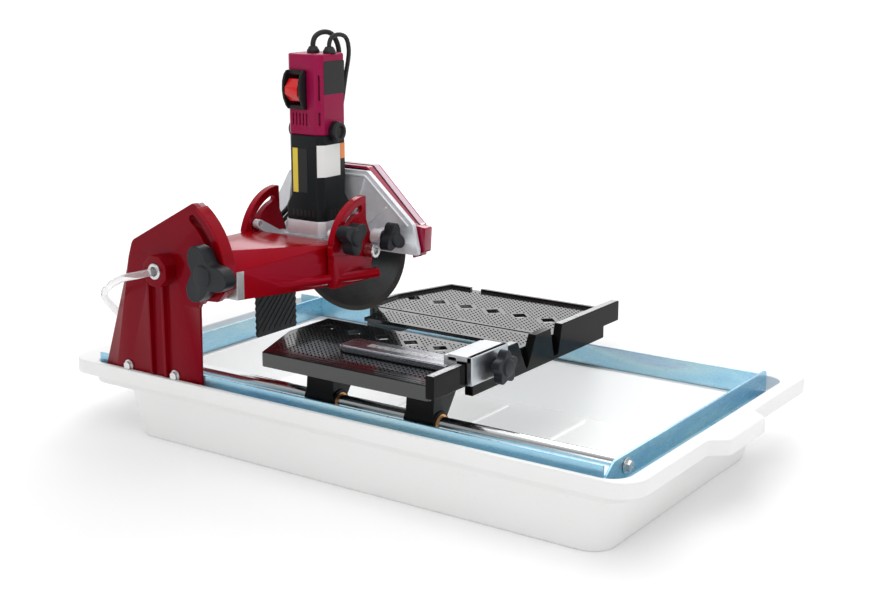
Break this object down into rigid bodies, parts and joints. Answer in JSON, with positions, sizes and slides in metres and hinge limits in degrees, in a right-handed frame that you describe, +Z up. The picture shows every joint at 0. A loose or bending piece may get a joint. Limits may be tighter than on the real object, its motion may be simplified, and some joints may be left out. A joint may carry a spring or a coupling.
{
  "type": "wet tile saw",
  "caption": "Bench wet tile saw with a white water basin, angle-iron frame, sliding slotted table, red post and plunging, tilting head with upright motor and guarded diamond blade.",
  "frame": {"origin": "centre of the bounding box footprint, at the underside of the basin", "axes": "+X towards the operator, +Y towards the far rail, +Z up"},
  "size_m": [1.0815, 0.5522, 0.5343],
  "materials": {
    "white_plastic": "smooth moulded",
    "zinc_steel": "zinc plated, bright passivated",
    "chrome_steel": "ground and polished",
    "bolt_steel": "zinc plated",
    "red_enamel": "glossy enamel on cast aluminium",
    "magenta_plastic": "satin moulded",
    "slate_plastic": "fine textured",
    "cast_alloy": "as cast",
    "blade_steel": "ground steel with diamond rim",
    "black_enamel": "glossy enamel on cast aluminium",
    "black_plastic": "fine textured",
    "black_rubber": "smooth",
    "clear_vinyl": "clear flexible vinyl",
    "bronze": "sintered bronze",
    "dark_steel": "dark oxide",
    "copper_iron": "laminations with copper windings",
    "switch_red": "moulded"
  },
  "bodies": {
    "root": {"water_tray": "white_plastic", "near_rail": "zinc_steel", "far_rail": "zinc_steel", "front_cross": "zinc_steel", "rear_cross": "zinc_steel", "guide_rod": "chrome_steel", "rod_bolt_front": "bolt_steel", "post": "red_enamel", "post_bolt_rear": "bolt_steel", "post_bolt_front": "bolt_steel", "water_pump": "black_plastic", "water_hose": "clear_vinyl", "post_cord_clip": "black_plastic", "power_cord": "black_rubber", "pump_lead": "black_rubber", "power_cord_coil": "black_rubber", "power_plug": "black_rubber"},
    "arm": {"tilt_arm": "red_enamel", "pivot_spindle": "bolt_steel", "splash_flap": "black_rubber", "flap_bracket": "dark_steel", "tilt_bolt_front": "bolt_steel", "tilt_bolt_rear": "bolt_steel", "arm_cord_clip": "black_plastic", "power_cord_arm": "black_rubber", "pump_lead_arm": "black_rubber"},
    "plunge_knob_body": {"plunge_knob": "black_plastic"},
    "head": {"gear_case": "cast_alloy", "gear_plate": "cast_alloy", "motor_lower": "slate_plastic", "motor_upper": "magenta_plastic", "switch_plate": "black_plastic", "brush_cap_near": "black_plastic", "brush_cap_far": "black_plastic", "cord_gland_power": "black_rubber", "cord_gland_pump": "black_rubber", "guard_inner": "cast_alloy", "guard_cover": "magenta_plastic", "tilt_lock_bolt_rear": "bolt_steel", "power_cord_head": "black_rubber", "pump_lead_head": "black_rubber"},
    "switch_body": {"switch_paddle": "switch_red"},
    "guard_knob_body": {"guard_knob": "black_plastic"},
    "tilt_knob_body": {"tilt_knob": "black_plastic"},
    "spindle": {"arbor": "bolt_steel", "blade": "blade_steel", "blade_flange_outer": "bolt_steel", "arbor_nut": "bolt_steel", "bevel_gear": "bolt_steel"},
    "rotor": {"armature": "copper_iron"},
    "table": {"table_top": "black_enamel", "carrier_rear": "black_enamel", "carrier_front": "black_enamel", "bush_rear": "bronze", "bush_front": "bronze", "fence": "dark_steel"},
    "roller_rear_body": {"roller_rear": "black_plastic"},
    "roller_front_body": {"roller_front": "black_plastic"},
    "guide": {"rip_guide": "cast_alloy"},
    "guide_knob_body": {"guide_knob": "black_plastic"}
  },
  "joints": [
    {"name": "arm_plunge", "type": "hinge", "parent": "root", "child": "arm", "pos_m": [-0.25725, -0.20114, 0.2402], "axis": [0, -1, 0], "range_deg": [0, 45], "deforming": ["splash_flap", "power_cord_arm", "pump_lead_arm"]},
    {"name": "head_tilt", "type": "hinge", "parent": "arm", "child": "head", "pos_m": [-0.18325, 0.00306, 0.244], "axis": [-1, 0, 0], "range_deg": [0, 45], "deforming": ["power_cord_head", "pump_lead_head"]},
    {"name": "blade_spin", "type": "hinge", "parent": "head", "child": "spindle", "pos_m": [-0.18325, 0.05806, 0.2396], "axis": [0, 1, 0], "continuous": true},
    {"name": "armature_spin", "type": "hinge", "parent": "head", "child": "rotor", "pos_m": [-0.18325, -0.00444, 0.34], "axis": [0, 0, 1], "continuous": true},
    {"name": "table_slide", "type": "slide", "parent": "root", "child": "table", "axis": [1, 0, 0], "range_m": [-0.225, 0.24]},
    {"name": "roller_rear_spin", "type": "hinge", "parent": "table", "child": "roller_rear_body", "pos_m": [-0.03675, 0.20276, 0.1143], "axis": [0, 1, 0], "range_deg": [-1400, 1400]},
    {"name": "roller_front_spin", "type": "hinge", "parent": "table", "child": "roller_front_body", "pos_m": [0.11325, 0.20276, 0.1143], "axis": [0, 1, 0], "range_deg": [-1400, 1400]},
    {"name": "rip_guide_slide", "type": "slide", "parent": "table", "child": "guide", "axis": [0, 1, 0], "range_m": [-0.05, 0.03]},
    {"name": "guide_knob_turn", "type": "hinge", "parent": "guide", "child": "guide_knob_body", "pos_m": [0.17325, -0.10094, 0.152], "axis": [1, 0, 0], "range_deg": [-180, 0]},
    {"name": "plunge_knob_turn", "type": "hinge", "parent": "arm", "child": "plunge_knob_body", "pos_m": [-0.17035, -0.23294, 0.2451], "axis": [0, -1, 0], "range_deg": [0, 180]},
    {"name": "tilt_knob_turn", "type": "hinge", "parent": "head", "child": "tilt_knob_body", "pos_m": [-0.09175, -0.04994, 0.272], "axis": [1, 0, 0], "range_deg": [0, 180]},
    {"name": "guard_knob_turn", "type": "hinge", "parent": "head", "child": "guard_knob_body", "pos_m": [-0.07675, 0.01406, 0.262], "axis": [1, 0, 0], "range_deg": [0, 180]},
    {"name": "switch_rock", "type": "hinge", "parent": "head", "child": "switch_body", "pos_m": [-0.19025, -0.03294, 0.458], "axis": [1, 0, 0], "range_deg": [-10, 10]}
  ],
  "couplings": [
    {"joint": "armature_spin", "follows": "blade_spin", "ratio": -3.3},
    {"joint": "roller_rear_spin", "follows": "table_slide", "rad_per_m": 100},
    {"joint": "roller_front_spin", "follows": "table_slide", "rad_per_m": 100}
  ]
}
